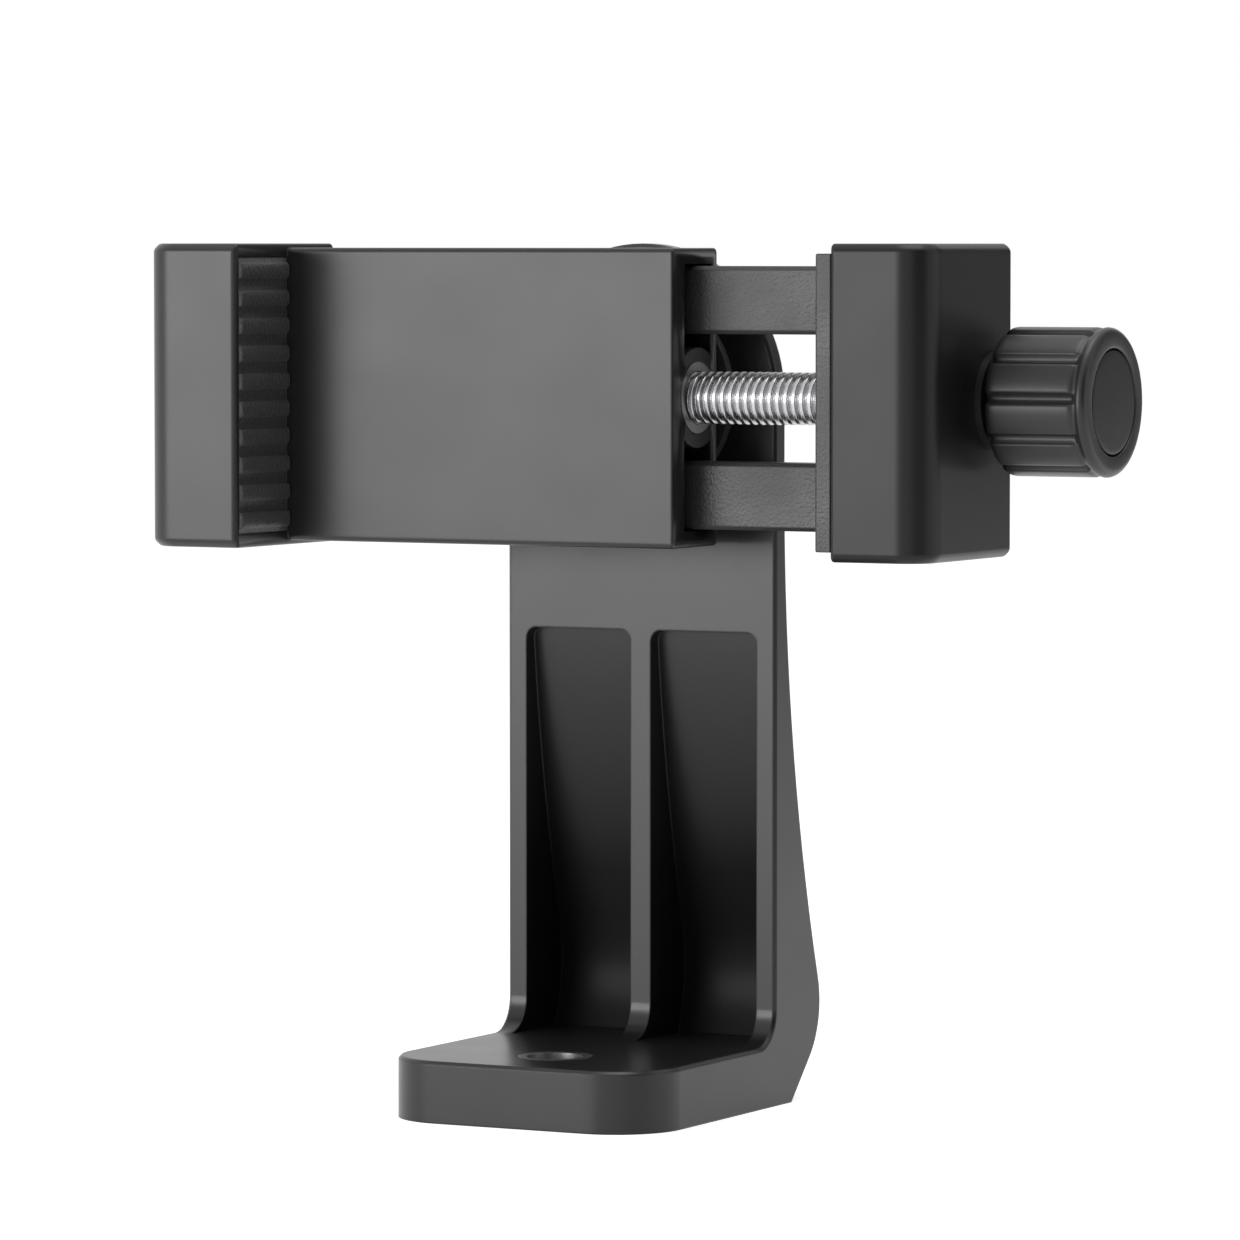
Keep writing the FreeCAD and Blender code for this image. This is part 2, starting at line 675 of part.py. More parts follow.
def make_clamp_body():
    body = clamp_body_at_pivot("clamp_body")
    block(
        body,
        "housing",
        (-s.jaw_inner, s.body_end),
        (clamp_front, clamp_rear),
        both_sides(s.body_height),
    )
    long_edges = (clamp_front, clamp_rear)
    half_high = s.body_height / 2
    round_edges(
        body,
        "housing_edges",
        s.body_edge,
        lambda edge: any(
            lies(edge, y=side, z=level) for side in long_edges for level in (half_high, -half_high)
        ),
    )
    block(
        body,
        "fixed_jaw",
        (jaw_outer, -s.jaw_inner),
        (jaw_front, clamp_rear),
        both_sides(s.jaw_height),
    )
    round_edges(
        body, "jaw_corner", s.jaw_corner, lambda edge: lies(edge, x=jaw_outer, y=jaw_front)
    )
    half_jaw = s.jaw_height / 2

    def jaw_rim(edge):
        on_rim = lies(edge, z=half_jaw) or lies(edge, z=-half_jaw)
        rear_corner = lies(edge, x=jaw_outer, y=clamp_rear)
        return (on_rim or rear_corner) and not lies(edge, x=-s.jaw_inner)

    round_edges(body, "jaw_edges", s.jaw_edge, jaw_rim, "Chamfer")
    front_bevel(body, -s.jaw_inner, -1)

    # the boss on the rear, which bears on the friction washer
    sketch = new_sketch(body, "rear_boss_outline", "XZ_Plane", -clamp_rear)
    circle(sketch, ZERO, ZERO, s.clamp_boss_radius)
    pad(body, "rear_boss", sketch, s.clamp_boss_height, forward=False)

    # the cavity for the rails: at the open end it leaves a boss that holds the nut
    sketch = new_sketch(body, "mouth_outline", "YZ_Plane", s.body_end)
    half_deep = (cavity_rear - cavity_front) / 2
    rise = (s.nut_boss_radius.value ** 2 - half_deep.value ** 2) ** 0.5
    rear, front, top = cavity_rear.value, cavity_front.value, cavity_half.value
    rear_side = line(sketch, (rear, rise), (rear, top))
    upper_side = line(sketch, (rear, top), (front, top))
    front_side = line(sketch, (front, top), (front, rise))
    round_side = arc(
        sketch, (screw_axis.value, 0), s.nut_boss_radius.value, (rear, rise), (front, rise)
    )
    join(sketch, rear_side, END, upper_side, START)
    join(sketch, upper_side, END, front_side, START)
    join(sketch, front_side, END, round_side, END)
    join(sketch, round_side, START, rear_side, START)
    pin(sketch, round_side, CENTRE, screw_axis, ZERO)
    radius_of(sketch, round_side, s.nut_boss_radius)
    pin(sketch, upper_side, START, cavity_rear, cavity_half)
    pin(sketch, upper_side, END, cavity_front, cavity_half)
    pin(sketch, rear_side, START, cavity_rear, None)
    pin(sketch, front_side, END, cavity_front, None)
    mouth = cut(body, "upper_mouth", sketch, s.nut_length)
    mirrored(body, "lower_mouth", mouth, "XY_Plane")
    sketch = new_sketch(body, "cavity_outline", "YZ_Plane", s.body_end - s.nut_length)
    rectangle(sketch, (cavity_front, cavity_rear), (-cavity_half, cavity_half))
    cut(body, "cavity", sketch, s.body_end - s.nut_length - cavity_end)
    sketch = new_sketch(body, "nut_seat_outline", "YZ_Plane", s.body_end)
    circle(sketch, screw_axis, ZERO, s.nut_diameter / 2 + s.seat_gap)
    cut(body, "nut_seat", sketch, s.nut_length)

    # a long rib inside the front wall guides each rail
    guide_low = s.rail_spacing / 2 - s.guide_rib_width / 2
    guide = block(
        body,
        "guide_rib",
        (-s.jaw_inner, s.body_end - s.guide_rib_setback),
        (cavity_front, rail_front - s.slide_gap),
        (guide_low, guide_low + s.guide_rib_width),
    )
    mirrored(body, "lower_guide_rib", guide, "XY_Plane")

    # the seat that stops the pivot bolt's head from turning
    sketch = new_sketch(body, "bolt_seat_outline", "XZ_Plane", -cavity_rear)
    hexagon(sketch, s.bolt_head_flats + s.running_gap * 2)
    cut(body, "bolt_seat", sketch, s.bolt_head_height + s.bolt_head_gap)
    sketch = new_sketch(body, "bolt_bore_outline", "XZ_Plane", -cavity_rear)
    circle(sketch, ZERO, ZERO, bolt_radius + s.running_gap)
    cut(body, "bolt_bore", sketch, -cavity_rear)

    # the recess that the rubber pad is glued in, behind a thin lip at the jaw's front
    pad_half = s.pad_height / 2 + s.seat_gap
    hollow(
        body,
        "pad_seat",
        (-(s.jaw_inner + s.pad_seat), -s.jaw_inner + CUT_PAST),
        (jaw_front + s.pad_margin, clamp_front),
        (-pad_half, pad_half),
    )
    ring(
        "clamp_nut",
        s.nut_diameter / 2,
        screw_radius + s.running_gap,
        s.nut_length,
        (s.body_end - s.nut_length, screw_axis, ZERO),
        "X",
    )
    return body


def ribbed_pad(label, back, base, along, height, count, facing):
    """A rubber pad with a row of rounded ribs on the face that grips the phone. Its back
    is at X = back, and facing is 1 or -1 for a pad that looks along +X or -X."""
    body = clamp_body_at_pivot(label)
    face = back + base * facing
    ends = (back, face) if facing > 0 else (face, back)
    block(body, "base", ends, along, both_sides(height))
    sketch = new_sketch(body, "rib_outline", "XZ_Plane", -along[1])
    low = -(s.rib_pitch * (count - 1) / 2)
    half = s.rib_width / 2
    radius = (half * half + s.rib_height * s.rib_height) / (s.rib_height * 2)
    centre = face + (s.rib_height - radius) * facing
    ends = [(face.value, (low - half).value), (face.value, (low + half).value)]
    flat_side = line(sketch, ends[0], ends[1])
    if facing > 0:
        bulge = arc(sketch, (centre.value, low.value), radius.value, ends[0], ends[1])
        join(sketch, bulge, START, flat_side, START)
        join(sketch, bulge, END, flat_side, END)
    else:
        bulge = arc_on_the_left(sketch, (centre.value, low.value), radius.value, ends[1], ends[0])
        join(sketch, bulge, START, flat_side, END)
        join(sketch, bulge, END, flat_side, START)
    pin(sketch, flat_side, START, face, low - half)
    pin(sketch, flat_side, END, face, low + half)
    radius_of(sketch, bulge, radius)
    rib = pad(body, "rib", sketch, along[1] - along[0])
    in_a_row(body, "ribs", rib, "Z_Axis", s.rib_pitch * (count - 1), count)
    return body


def make_pads():
    ribbed_pad(
        "fixed_pad",
        -(s.jaw_inner + s.pad_seat) + s.seat_gap,
        s.pad_base,
        (jaw_front + s.pad_margin + s.seat_gap, clamp_front - s.seat_gap),
        s.pad_height,
        s.rib_count,
        1,
    )
    ribbed_pad(
        "moving_pad",
        s.slider_place + s.moving_pad_seat - s.seat_gap,
        s.moving_pad_base,
        (
            jaw_front + s.slider_inset + s.moving_pad_margin + s.seat_gap,
            clamp_front - s.free_gap - s.seat_gap,
        ),
        s.moving_pad_height,
        s.moving_rib_count,
        -1,
    )


def make_jaw_slider():
    body = clamp_body_at_pivot("jaw_slider")
    slider_front = jaw_front + s.slider_inset
    slider_rear = clamp_rear - s.slider_inset
    block(
        body,
        "plate",
        (s.slider_place, slider_right),
        (slider_front, slider_rear),
        both_sides(s.slider_height),
    )
    half_plate = s.slider_height / 2
    round_edges(
        body,
        "plate_edges",
        s.slider_edge,
        lambda edge: lies(edge, x=s.slider_place) and not lies(edge, y=slider_rear),
    )
    rail_low = s.rail_spacing / 2 - s.rail_height / 2
    left = s.slider_place - s.rail_length
    sketch = new_sketch(body, "rail_outline", "YZ_Plane", s.slider_place + s.slider_thickness / 2)
    rectangle(sketch, (rail_front, rail_rear), (rail_low, rail_outer))
    rail = pad(body, "rail", sketch, s.rail_length + s.slider_thickness / 2, forward=False)
    mirrored(body, "lower_rail", rail, "XY_Plane")

    def rail_edge(edge):
        sides = (rail_low, rail_outer, -rail_low, -rail_outer)
        return any(lies(edge, y=y, z=z) for y in (rail_front, rail_rear) for z in sides)

    round_edges(body, "rail_edges", s.rail_edge, rail_edge, "Chamfer")
    round_edges(body, "rail_tips", s.rail_edge, lambda edge: lies(edge, x=left), "Chamfer")
    sketch = new_sketch(body, "screw_hole_outline", "YZ_Plane", slider_right)
    circle(sketch, screw_axis, ZERO, screw_radius + s.free_gap)
    cut(body, "screw_hole", sketch, s.slider_thickness)
    pad_half = s.moving_pad_height / 2 + s.seat_gap
    hollow(
        body,
        "pad_seat",
        (s.slider_place - CUT_PAST, s.slider_place + s.moving_pad_seat),
        (slider_front + s.moving_pad_margin, clamp_front - s.free_gap),
        (-pad_half, pad_half),
    )

    # stepped holes under the pad for the two screws that hold the cover
    for name, level in (("upper", s.post_spacing / 2), ("lower", -(s.post_spacing / 2))):
        sketch = new_sketch(body, f"{name}_hole_outline", "YZ_Plane", slider_right)
        circle(sketch, jaw_front + s.post_setback, level, s.jaw_screw_diameter / 2 + s.running_gap)
        cut(body, f"{name}_hole", sketch, s.slider_thickness)
        sketch = new_sketch(
            body, f"{name}_seat_outline", "YZ_Plane", s.slider_place + s.moving_pad_seat
        )
        circle(sketch, jaw_front + s.post_setback, level, s.jaw_screw_head / 2 + s.running_gap)
        cut(body, f"{name}_seat", sketch, s.jaw_screw_head_height, forward=True)
    return body


def make_jaw_cover():
    body = clamp_body_at_pivot("jaw_cover")
    half_jaw = s.jaw_height / 2
    block(
        body,
        "shell",
        (slider_right, cover_right),
        (jaw_front, clamp_rear),
        both_sides(s.jaw_height),
    )
    round_edges(
        body, "outer_corner", s.jaw_corner, lambda edge: lies(edge, x=cover_right, y=jaw_front)
    )

    def rim(edge):
        on_rim = lies(edge, z=half_jaw) or lies(edge, z=-half_jaw)
        rear_corner = lies(edge, x=cover_right, y=clamp_rear)
        return (on_rim or rear_corner) and not lies(edge, x=slider_right)

    round_edges(body, "shell_edges", s.jaw_edge, rim, "Chamfer")
    front_bevel(body, slider_right, 1)
    hollow(
        body,
        "inside",
        (slider_right - CUT_PAST, cover_right - s.jaw_wall),
        (jaw_front + s.jaw_wall, clamp_rear - s.jaw_wall),
        (-half_jaw + s.jaw_wall, half_jaw - s.jaw_wall),
    )
    # room for the screw's clip, let into the rear wall
    sketch = new_sketch(body, "clip_room_outline", "YZ_Plane", slider_right)
    circle(sketch, screw_axis, ZERO, s.clip_radius + s.slide_gap)
    cut(body, "clip_room", sketch, boss_left - slider_right, forward=True)
    sketch = new_sketch(body, "screw_boss_outline", "YZ_Plane", boss_left)
    circle(sketch, screw_axis, ZERO, s.screw_boss_radius)
    pad(body, "screw_boss", sketch, boss_right - boss_left)
    sketch = new_sketch(body, "screw_bore_outline", "YZ_Plane", cover_right)
    circle(sketch, screw_axis, ZERO, screw_radius + s.running_gap)
    cut(body, "screw_bore", sketch, cover_right - boss_left + CUT_PAST)
    for name, level in (("upper", s.post_spacing / 2), ("lower", -(s.post_spacing / 2))):
        sketch = new_sketch(body, f"{name}_post_outline", "YZ_Plane", slider_right)
        circle(sketch, jaw_front + s.post_setback, level, s.post_radius)
        pad(body, f"{name}_post", sketch, boss_right - slider_right)
        sketch = new_sketch(body, f"{name}_pilot_outline", "YZ_Plane", slider_right)
        circle(sketch, jaw_front + s.post_setback, level, s.jaw_screw_diameter / 2 + s.seat_gap)
        cut(body, f"{name}_pilot", sketch, s.jaw_screw_length, forward=True)
    return body


def make_jaw_screws():
    """Two small flat-headed screws that hold the slider's plate on the cover's posts."""
    head = s.jaw_screw_head / 2
    shank = s.jaw_screw_diameter / 2
    depth = s.jaw_screw_head_height
    for name, level in (("upper", s.post_spacing / 2), ("lower", -(s.post_spacing / 2))):
        profile = [
            (ZERO, ZERO),
            (head, ZERO),
            (head, depth),
            (shank, depth),
            (shank, s.jaw_screw_length - s.free_gap),
            (ZERO, s.jaw_screw_length - s.free_gap),
        ]
        start = s.slider_place + s.moving_pad_seat
        turned(f"jaw_screw_{name}", profile, (start, jaw_front + s.post_setback, level), "X")


def knob_shape(label, place, axis):
    """A fluted knob from its neck outward, with a round recess for the cap in its end."""
    end = s.neck_length + s.knob_length
    recess = end - s.cap_thickness
    round_start = s.knob_radius - s.rim_round
    level = end - s.rim_round
    rim = []
    for lean in (0, 45, 90):
        out, up = math.cos(math.radians(lean)), math.sin(math.radians(lean))
        rim.append((round_start + s.rim_round * out, level + s.rim_round * up))
    profile = [
        (ZERO, ZERO),
        (s.neck_radius, ZERO),
        (s.neck_radius, s.neck_length),
        (s.knob_radius, s.neck_length),
        *rim,
        (s.cap_radius + s.seat_gap, end),
        (s.cap_radius + s.seat_gap, recess),
        (ZERO, recess),
    ]
    body = turned(label, profile, place, axis)
    groove = hollow(
        body,
        "groove",
        both_sides(s.groove_width),
        (-(s.knob_radius + CUT_PAST), -(s.knob_radius - s.groove_depth)),
        (s.neck_length - CUT_PAST, end - s.rim_band),
    )
    around(body, "grooves", groove, s.groove_count)
    return body


def knob_cap(label, place, axis):
    """The disc that closes the knob's end, flush with its face."""
    profile = [
        (ZERO, ZERO),
        (s.cap_radius, ZERO),
        (s.cap_radius, s.cap_thickness),
        (ZERO, s.cap_thickness),
    ]
    turned(label, profile, place, axis)


def make_clamp_screw():
    """The clamping screw with its clip, thrust washer, knob and cap."""
    cap_start = s.neck_length + s.knob_length - s.cap_thickness
    screw_end = knob_start + cap_start - s.cap_floor
    length = s.screw_tip + screw_end
    groove_start = s.screw_tip + boss_left - s.running_gap * 2 - s.clip_thickness
    groove_end = groove_start + s.clip_thickness + s.running_gap
    core = screw_radius - s.clip_groove
    profile = [
        (ZERO, ZERO),
        (screw_radius - s.tip_chamfer, ZERO),
        (screw_radius, s.tip_chamfer),
        (screw_radius, groove_start),
        (core, groove_start),
        (core, groove_end),
        (screw_radius, groove_end),
        (screw_radius, length),
        (ZERO, length),
    ]
    turned("clamp_screw", profile, (-s.screw_tip, screw_axis, ZERO), "X")

    clip = ring(
        "screw_clip",
        s.clip_radius,
        core + s.seat_gap,
        s.clip_thickness,
        (groove_start - s.screw_tip + s.running_gap / 2, screw_axis, ZERO),
        "X",
    )
    hollow(
        clip,
        "mouth",
        (ZERO, s.clip_radius + CUT_PAST),
        both_sides(s.clip_mouth),
        (ZERO, s.clip_thickness),
    )
    ring(
        "thrust_washer",
        s.thrust_radius,
        screw_radius + s.running_gap,
        s.thrust_thickness,
        (cover_right, screw_axis, ZERO),
        "X",
    )
    knob = knob_shape("clamp_knob", (knob_start, screw_axis, ZERO), "X")
    sketch = new_sketch(knob, "screw_socket_outline", "XY_Plane")
    circle(sketch, ZERO, ZERO, screw_radius + s.seat_gap)
    cut(knob, "screw_socket", sketch, cap_start - s.cap_floor + s.seat_gap, forward=True)
    knob_cap("clamp_knob_cap", (knob_start + cap_start, screw_axis, ZERO), "X")


def make_pivot_knob():
    """The knob that tightens the pivot, with its nut and cap."""
    start = head_rear + s.knob_washer_thickness + s.running_gap
    cap_start = s.neck_length + s.knob_length - s.cap_thickness
    nut_corner = s.knob_nut_flats / ROOT_OF_3
    knob = knob_shape("pivot_knob", (ZERO, start, ZERO), "Y")
    sketch = new_sketch(knob, "bolt_bore_outline", "XY_Plane")
    circle(sketch, ZERO, ZERO, bolt_radius + s.slide_gap)
    cut(knob, "bolt_bore", sketch, cap_start, forward=True)
    sketch = new_sketch(knob, "nut_seat_outline", "XY_Plane", s.knob_nut_start)
    hexagon(sketch, s.knob_nut_flats + s.seat_gap * 2)
    cut(knob, "nut_seat", sketch, cap_start - s.knob_nut_start, forward=True)

    nut = clamp_body_at_pivot("pivot_knob_nut", ZERO, start + s.knob_nut_start, ZERO, "Y")
    sketch = new_sketch(nut, "nut_outline", "XY_Plane")
    hexagon(sketch, s.knob_nut_flats)
    pad(nut, "nut", sketch, s.knob_nut_height)
    sketch = new_sketch(nut, "bore_outline", "XY_Plane")
    circle(sketch, ZERO, ZERO, bolt_radius + s.running_gap)
    cut(nut, "bore", sketch, s.knob_nut_height, forward=True)
    knob_cap("pivot_knob_cap", (ZERO, start + cap_start, ZERO), "Y")


make_bracket_arm()
ring(
    "tripod_insert",
    insert_radius,
    s.tripod_thread / 2,
    s.foot_thickness,
    (ZERO, ZERO, ZERO),
    "Z",
)
make_pivot_pieces()
make_clamp_body()
make_pads()
make_jaw_slider()
make_jaw_cover()
make_jaw_screws()
make_clamp_screw()
make_pivot_knob()
doc.recompute()

# Check every object, then write each piece

failed = [item.Label for item in doc.Objects if {"Invalid", "Error"} & set(item.State)]
if failed:
    raise RuntimeError(f"not built: {failed}")
pieces = [item for item in doc.Objects if item.TypeId == "PartDesign::Body"]
for piece in pieces:
    shape = piece.Shape
    if shape.isNull() or not shape.isValid() or len(shape.Solids) != 1:
        raise RuntimeError(f"bad shape: {piece.Label}")

os.makedirs("parts", exist_ok=True)
for piece in pieces:
    piece.Shape.exportStep(f"parts/{piece.Label}.step")
    print(f"{piece.Label}: {piece.Shape.Volume:.1f} mm3")
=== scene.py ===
# %% [markdown]
# # A tripod mount for a phone
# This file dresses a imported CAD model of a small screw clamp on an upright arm. The CAD solids
# already have the right shapes and sizes, so most of them stay and get a finish of their own.
# Where a moulded or cut detail is too fine for the solids, a piece modelled here stands for the
# solid: the rounded jaws, the thread of the screw, the grooved knobs and the ribbed rubber pads.

import math

import bmesh
import bpy
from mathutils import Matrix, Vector


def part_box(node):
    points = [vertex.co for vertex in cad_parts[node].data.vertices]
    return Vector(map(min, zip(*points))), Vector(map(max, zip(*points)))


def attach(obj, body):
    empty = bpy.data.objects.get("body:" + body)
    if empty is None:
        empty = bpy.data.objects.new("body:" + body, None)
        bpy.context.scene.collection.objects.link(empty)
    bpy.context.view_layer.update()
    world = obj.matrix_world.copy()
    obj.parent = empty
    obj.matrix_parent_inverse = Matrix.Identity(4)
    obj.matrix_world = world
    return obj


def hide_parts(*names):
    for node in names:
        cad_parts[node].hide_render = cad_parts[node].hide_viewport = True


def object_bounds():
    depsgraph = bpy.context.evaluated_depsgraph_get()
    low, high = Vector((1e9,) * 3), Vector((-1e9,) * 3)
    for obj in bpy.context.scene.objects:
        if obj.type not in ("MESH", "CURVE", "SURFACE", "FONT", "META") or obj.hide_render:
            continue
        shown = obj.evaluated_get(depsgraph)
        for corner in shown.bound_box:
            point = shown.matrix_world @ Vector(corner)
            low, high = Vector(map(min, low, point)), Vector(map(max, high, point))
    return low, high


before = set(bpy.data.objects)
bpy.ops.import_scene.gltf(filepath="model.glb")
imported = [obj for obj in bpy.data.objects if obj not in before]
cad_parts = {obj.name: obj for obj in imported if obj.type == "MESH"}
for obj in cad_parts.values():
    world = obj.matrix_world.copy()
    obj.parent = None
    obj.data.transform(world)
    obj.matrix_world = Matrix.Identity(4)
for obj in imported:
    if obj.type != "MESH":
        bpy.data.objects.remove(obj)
cad_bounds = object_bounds()
MM = 0.001
box_mm = [round(c / MM, 1) for corner in cad_bounds for c in corner]
print("nodes:", len(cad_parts), "box in mm:", box_mm)

# %% [markdown]
# ## Helpers for finishes
# Every finish here is one Principled shader with a little noise for its grain. The grain could
# be an unwrapped picture, but noise in the object's own coordinates needs no unwrapping and has
# the same scale on every piece. A number that is the same all over a surface is set on the
# shader itself, and only what varies over the surface comes from other nodes.

# %% A finish with its steady values


def new_finish(name, colour, roughness, metallic=0.0, specular=0.5):
    """A material with one Principled shader, its steady values set on the shader."""
    finish = bpy.data.materials.new(name)
    finish.use_nodes = True
    shader = finish.node_tree.nodes["Principled BSDF"]
    shader.inputs["Base Color"].default_value = (*colour, 1)
    shader.inputs["Roughness"].default_value = roughness
    shader.inputs["Metallic"].default_value = metallic
    shader.inputs["Specular IOR Level"].default_value = specular
    return finish, shader


print("finish helper ready")

# %% Noise and ranges
NOISE_LOW, NOISE_HIGH = 0.3, 0.7


def grain(finish, size_mm, detail):
    """Noise in the object's own coordinates, with lumps of about the given size."""
    tree = finish.node_tree
    place = tree.nodes.new("ShaderNodeTexCoord")
    noise = tree.nodes.new("ShaderNodeTexNoise")
    noise.inputs["Scale"].default_value = 1 / (size_mm * MM)
    noise.inputs["Detail"].default_value = detail
    tree.links.new(place.outputs["Object"], noise.inputs["Vector"])
    return noise.outputs["Fac"]


def between(tree, value, start, end, at_start, at_end):
    """Map a value from the range start to end onto the range at_start to at_end."""
    ramp = tree.nodes.new("ShaderNodeMapRange")
    numbers = {"From Min": start, "From Max": end, "To Min": at_start, "To Max": at_end}
    for socket, number in numbers.items():
        ramp.inputs[socket].default_value = number
    tree.links.new(value, ramp.inputs["Value"])
    return ramp.outputs["Result"]


def wander(finish, noise, low, high):
    """A value that swings from low to high over the range where most of the noise lies."""
    return between(finish.node_tree, noise, NOISE_LOW, NOISE_HIGH, low, high)


print("grain helpers ready")

# %% Soft edges and relief
EDGE_SAMPLES = 6


def soft_edges(finish, radius_mm):
    """Normals that turn gradually at an edge, as on a moulding with a tiny radius."""
    node = finish.node_tree.nodes.new("ShaderNodeBevel")
    node.samples = EDGE_SAMPLES
    node.inputs["Radius"].default_value = radius_mm * MM
    return node.outputs["Normal"]


def relief(finish, height, depth_mm, normal=None):
    """Turn a height into bumps of the given depth, over softened edges if there are any."""
    tree = finish.node_tree
    bump = tree.nodes.new("ShaderNodeBump")
    bump.inputs["Strength"].default_value = 1.0
    bump.inputs["Distance"].default_value = depth_mm * MM
    tree.links.new(height, bump.inputs["Height"])
    if normal:
        tree.links.new(normal, bump.inputs["Normal"])
    return bump.outputs["Normal"]


print("edge and relief helpers ready")

# %% [markdown]
# ## Black plastics
# The real mouldings are black plastic with a satin texture from the mould. The arm, the housing
# and the jaws look nearly the same. The slider is a grainier plastic that runs well on itself.
# Black plastic shows little of its own colour. What is seen is the sheen, so the roughness and
# the specular level are what set one moulding apart from the next, more than the colour does.

# %% A recipe for moulded plastic
PLASTIC_SPECULAR = 0.44
PATCH_MM = 9.0


def moulded_plastic(
    name, colour, roughness, grain_mm, grain_depth_mm,
    edge_mm=0.3, swing=0.015, specular=PLASTIC_SPECULAR,
):
    """Satin plastic: a fine grain, a roughness that wanders, and softened edges."""
    finish, shader = new_finish(name, colour, roughness, specular=specular)
    tree = finish.node_tree
    patches = grain(finish, PATCH_MM, detail=2.0)
    rough = wander(finish, patches, roughness - swing, roughness + swing)
    tree.links.new(rough, shader.inputs["Roughness"])
    fine = grain(finish, grain_mm, detail=4.0)
    edges = soft_edges(finish, edge_mm)
    tree.links.new(relief(finish, fine, grain_depth_mm, edges), shader.inputs["Normal"])
    return finish


print("plastic recipe ready")

# %% Plastics of the arm, clamp, slider and knobs
arm_plastic = moulded_plastic(
    "arm satin black", (0.013, 0.013, 0.0135),
    roughness=0.30, grain_mm=0.35, grain_depth_mm=0.004,
)
clamp_plastic = moulded_plastic(
    "clamp satin black", (0.015, 0.015, 0.0155),
    roughness=0.33, grain_mm=0.35, grain_depth_mm=0.004,
)
cover_plastic = moulded_plastic(
    "cover satin black", (0.011, 0.011, 0.0115),
    roughness=0.33, grain_mm=0.35, grain_depth_mm=0.004, specular=0.27,
)
slider_plastic = moulded_plastic(
    "slider grained black", (0.030, 0.030, 0.031),
    roughness=0.38, grain_mm=0.34, grain_depth_mm=0.05, edge_mm=0.25, swing=0.06,
)
knob_plastic = moulded_plastic(
    "knob satin black", (0.018, 0.018, 0.0185),
    roughness=0.36, grain_mm=0.3, grain_depth_mm=0.004,
)
cap_plastic = moulded_plastic(
    "knob cap black", (0.014, 0.014, 0.0145),
    roughness=0.36, grain_mm=0.3, grain_depth_mm=0.003, specular=0.30,
)
print("plastics ready")

# %% [markdown]
# ## Painted shade in the arm's pockets
# The arm's pockets are darkened by painted shade: their sheen is lowered, and more so the deeper
# they are, to stand in for the shade that falls in them. A second material for the pocket floors
# would leave a hard line at the pocket's edge. Here the sheen falls with the depth behind the
# arm's face instead, within the pockets' width and below their top, and not where a face looks
# back or up.

# %% Where the pockets are
POCKET_HALF = 15.2 * MM
POCKET_TOP = 60.0 * MM
# Painted shade: the sheen falls between these two depths behind the arm's face.
PAINTED_SHADE_FROM = 21.5 * MM
PAINTED_SHADE_TO = 27.5 * MM
PAINTED_SHADE_SHARE = 0.12
FACES_REAR = 0.3
FACES_UP = 0.5


def below(tree, value, limit):
    """One where the value is under the limit, else zero."""
    test = tree.nodes.new("ShaderNodeMath")
    test.operation = "LESS_THAN"
    tree.links.new(value, test.inputs[0])
    test.inputs[1].default_value = limit
    return test.outputs[0]


def product_of(tree, values):
    """The product of several values."""
    result = values[0]
    for value in values[1:]:
        product = tree.nodes.new("ShaderNodeMath")
        product.operation = "MULTIPLY"
        tree.links.new(result, product.inputs[0])
        tree.links.new(value, product.inputs[1])
        result = product.outputs[0]
    return result


print("the sheen falls over", round((PAINTED_SHADE_TO - PAINTED_SHADE_FROM) / MM, 1), "mm of depth")

# %% Paint shade into the pockets by lowering their sheen
tree = arm_plastic.node_tree
coordinates = tree.nodes.new("ShaderNodeTexCoord")
point = tree.nodes.new("ShaderNodeSeparateXYZ")
facing = tree.nodes.new("ShaderNodeSeparateXYZ")
tree.links.new(coordinates.outputs["Object"], point.inputs[0])
tree.links.new(coordinates.outputs["Normal"], facing.inputs[0])
aside = tree.nodes.new("ShaderNodeMath")
aside.operation = "ABSOLUTE"
tree.links.new(point.outputs["X"], aside.inputs[0])
depth = product_of(tree, [
    below(tree, aside.outputs[0], POCKET_HALF),
    below(tree, point.outputs["Z"], POCKET_TOP),
    below(tree, facing.outputs["Y"], FACES_REAR),
    below(tree, facing.outputs["Z"], FACES_UP),
    between(tree, point.outputs["Y"], PAINTED_SHADE_FROM, PAINTED_SHADE_TO, 0.0, 1.0),
])
# Deep in the pockets the specular level drops to a small share of its own, as painted shade.
sheen = between(tree, depth, 0.0, 1.0, PLASTIC_SPECULAR, PLASTIC_SPECULAR * PAINTED_SHADE_SHARE)
tree.links.new(sheen, tree.nodes["Principled BSDF"].inputs["Specular IOR Level"])
print("pockets dulled")

# %% [markdown]
# ## Rubber
# The pads are moulded rubber with a dull, slightly dusty, pebbled skin. The pebbles are bumps
# of noise, because at less than half a millimetre they never show in the outline, and a little
# sheen lightens the rubber where it is seen at a low angle.

# %% Rubber of the pads and the friction washer
PEBBLE_MM = 0.4
DUST_PATCH_MM = 3.0
RUBBER_SWING = 0.06
RUBBER_SHEEN, RUBBER_SHEEN_ROUGHNESS = 0.15, 0.5


def moulded_rubber(name, colour, roughness, grain_depth_mm):
    """Rubber with a pebbled skin, whose roughness wanders by a little."""
    finish, shader = new_finish(name, colour, roughness)
    tree = finish.node_tree
    shader.inputs["Sheen Weight"].default_value = RUBBER_SHEEN
    shader.inputs["Sheen Roughness"].default_value = RUBBER_SHEEN_ROUGHNESS
    pebbles = grain(finish, PEBBLE_MM, detail=3.0)
    tree.links.new(relief(finish, pebbles, grain_depth_mm), shader.inputs["Normal"])
    patches = grain(finish, DUST_PATCH_MM, detail=2.0)
    rough = wander(finish, patches, roughness - RUBBER_SWING, roughness + RUBBER_SWING)
    tree.links.new(rough, shader.inputs["Roughness"])
    return finish


pad_rubber = moulded_rubber("pad rubber", (0.034, 0.034, 0.034), 0.46, 0.16)
washer_rubber = moulded_rubber("washer rubber", (0.018, 0.018, 0.018), 0.75, 0.03)
print("rubbers ready")
